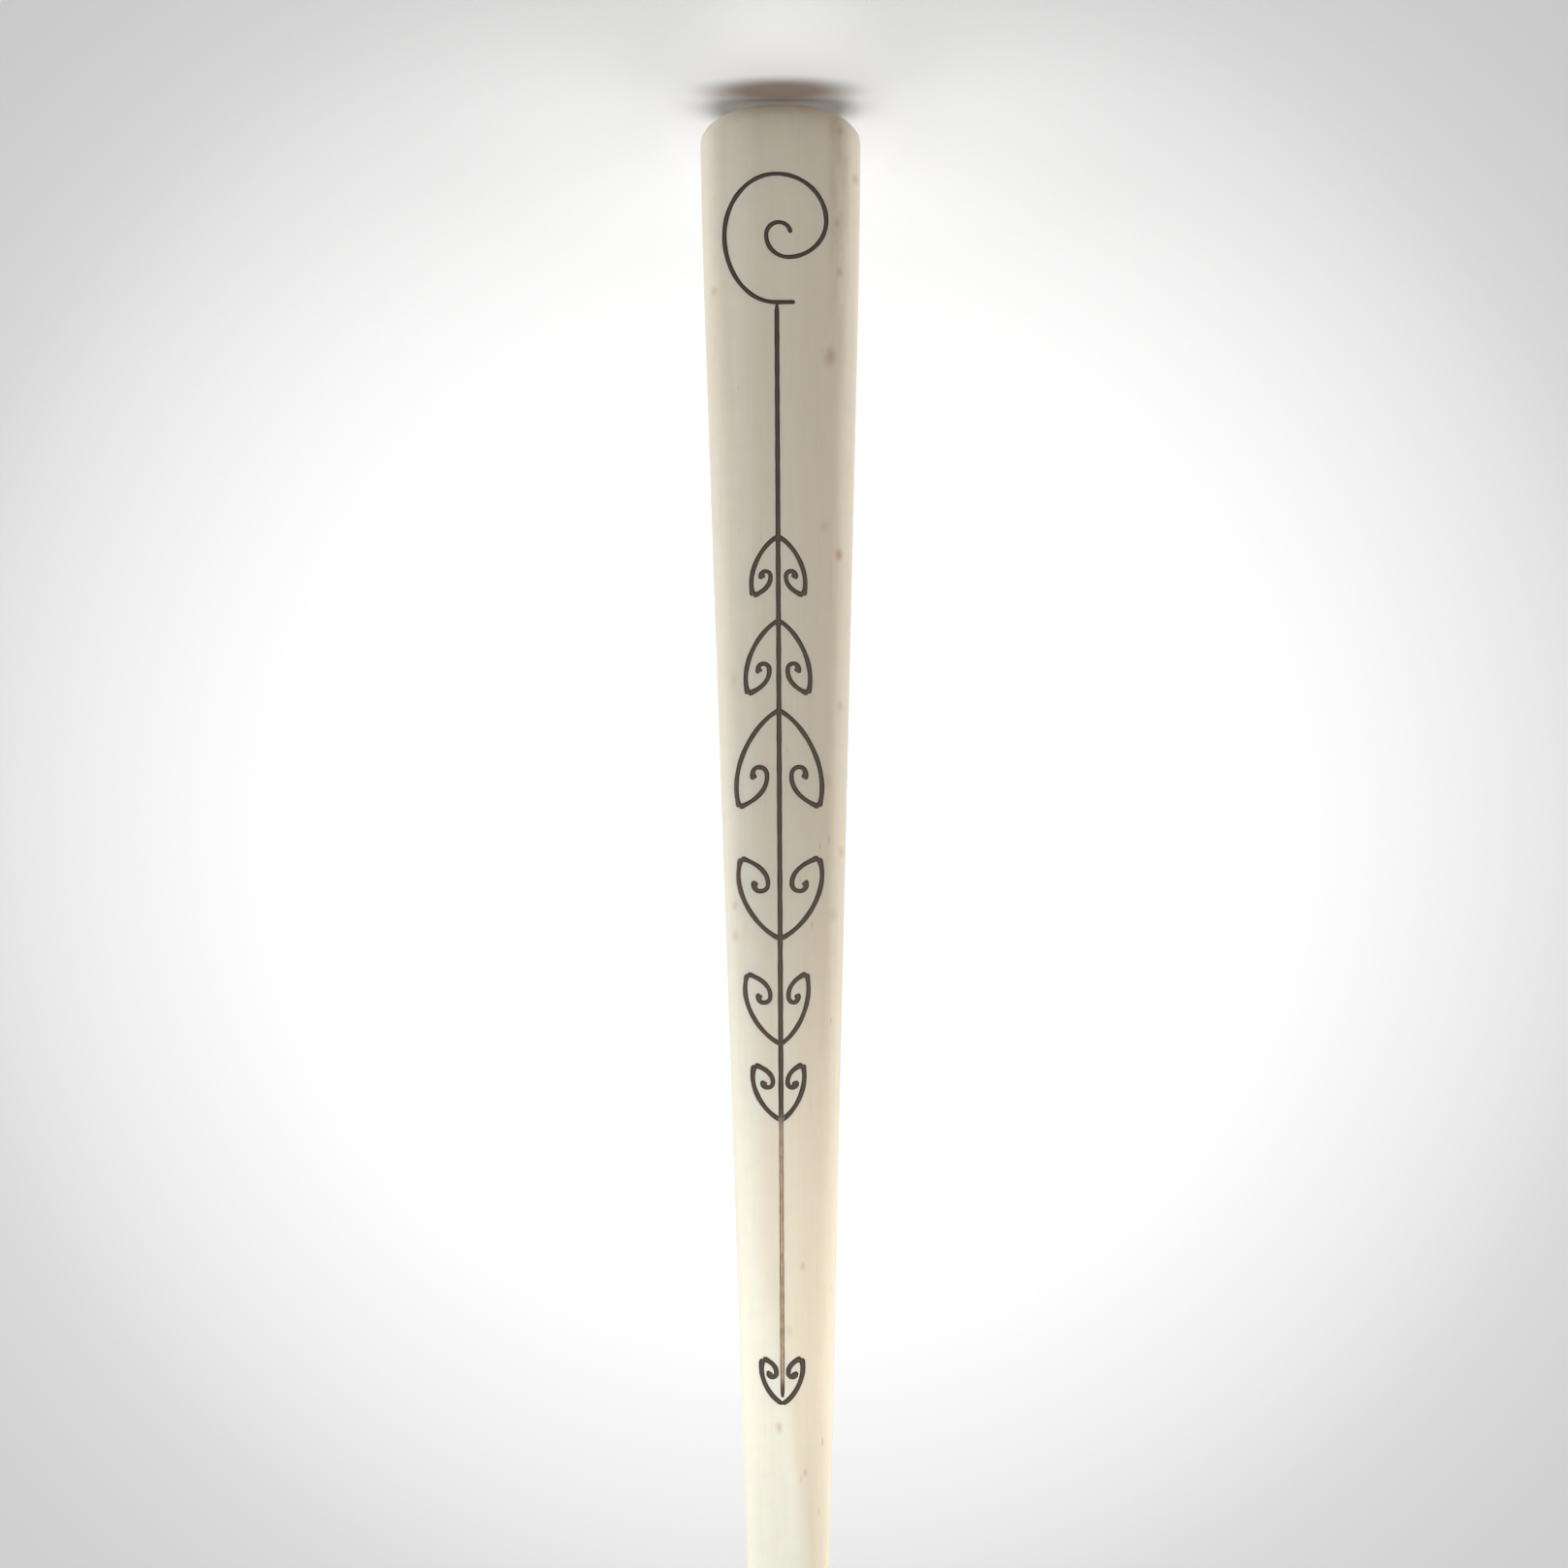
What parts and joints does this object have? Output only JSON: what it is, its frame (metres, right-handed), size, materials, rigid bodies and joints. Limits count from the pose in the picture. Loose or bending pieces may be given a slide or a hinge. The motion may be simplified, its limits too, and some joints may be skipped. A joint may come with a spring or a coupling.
{
  "type": "bone folder",
  "caption": "Slim tapered bone folder for creasing and scoring paper, rounded head and narrow tip, pigment-filled engraved spiral and leaf ornament on the front.",
  "frame": {"origin": "centre of the bounding box at its lowest level, which is the small flat land at the middle of the rounded head end that the folder stands on", "axes": "+Z along the blade from the wide head end to the narrow tip; +X across the blade's width; the engraved face looks towards -Y and the plain back face towards +Y"},
  "size_m": [0.0178, 0.007, 0.2],
  "materials": {
    "bone": "satin",
    "pigment": "matte"
  },
  "bodies": {
    "root": {"blade": "bone", "spiral_fill": "pigment", "stem_fill": "pigment", "leaf_1_left_fill": "pigment", "leaf_1_right_fill": "pigment", "leaf_2_left_fill": "pigment", "leaf_2_right_fill": "pigment", "leaf_3_left_fill": "pigment", "leaf_3_right_fill": "pigment", "leaf_4_left_fill": "pigment", "leaf_4_right_fill": "pigment", "leaf_5_left_fill": "pigment", "leaf_5_right_fill": "pigment", "leaf_6_left_fill": "pigment", "leaf_6_right_fill": "pigment", "leaf_7_left_fill": "pigment", "leaf_7_right_fill": "pigment"}
  },
  "joints": []
}
